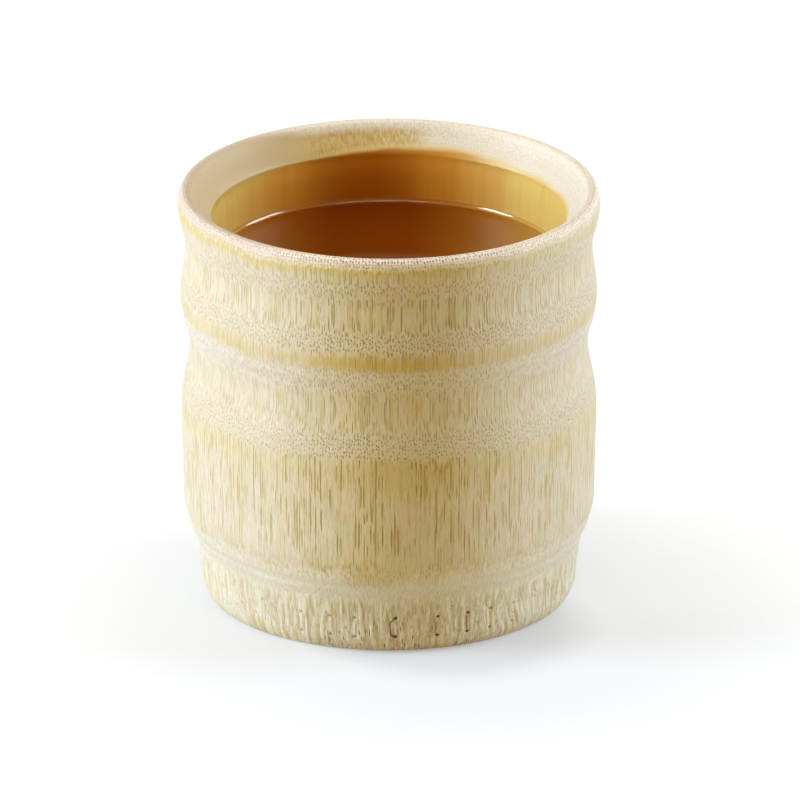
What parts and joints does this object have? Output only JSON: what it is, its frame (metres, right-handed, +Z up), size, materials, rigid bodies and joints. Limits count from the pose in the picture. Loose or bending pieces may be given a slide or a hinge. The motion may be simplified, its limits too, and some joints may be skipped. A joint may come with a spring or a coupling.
{
  "type": "bamboo cup",
  "caption": "Handleless drinking cup turned from thick bamboo, with two swells, a waist, a drawn-in foot, a bevelled rounded lip and a lacquered inside.",
  "frame": {"origin": "centre of the standing ring, on the surface the cup stands on", "axes": "+Z up along the cup's axis, out of its mouth; the cup is a solid of revolution, so +X and +Y are free"},
  "size_m": [0.0802, 0.0802, 0.0808],
  "materials": {
    "bamboo": "dry turned bamboo, bare, sanded, with straight fibres",
    "node_wood": "rough natural node partition, bare",
    "lacquer": "clear amber brush lacquer, glossy"
  },
  "bodies": {
    "root": {"culm_wall": "bamboo", "node_floor": "node_wood", "lacquer_lining": "lacquer"}
  },
  "joints": []
}
